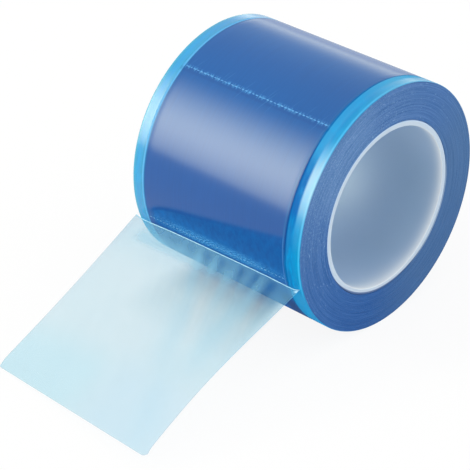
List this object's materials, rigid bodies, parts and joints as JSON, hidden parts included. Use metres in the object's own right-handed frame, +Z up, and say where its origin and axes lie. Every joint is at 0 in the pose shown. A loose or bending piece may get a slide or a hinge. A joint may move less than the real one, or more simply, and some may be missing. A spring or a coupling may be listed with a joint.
{
  "type": "protective film roll",
  "caption": "Short wide roll of thin perforated protective film on a plastic tube core, lying on its side with its first sheet peeled loose and sloping to the floor.",
  "frame": {"origin": "middle of the core's bore, halfway along the roll", "axes": "+X along the roll's axis, -Y towards the loose sheet, +Z up as the roll lies"},
  "size_m": [0.1016, 0.2141, 0.119],
  "materials": {
    "core": "smooth white extruded plastic, slightly glossy",
    "wound_film": "many turns of clear blue film, glossy, with a brighter cyan strip along each edge",
    "leading_sheet": "one layer of clear pale blue film, glossy and soft"
  },
  "bodies": {
    "root": {"core": "core", "wound_film": "wound_film", "leading_sheet": "leading_sheet"}
  },
  "joints": []
}
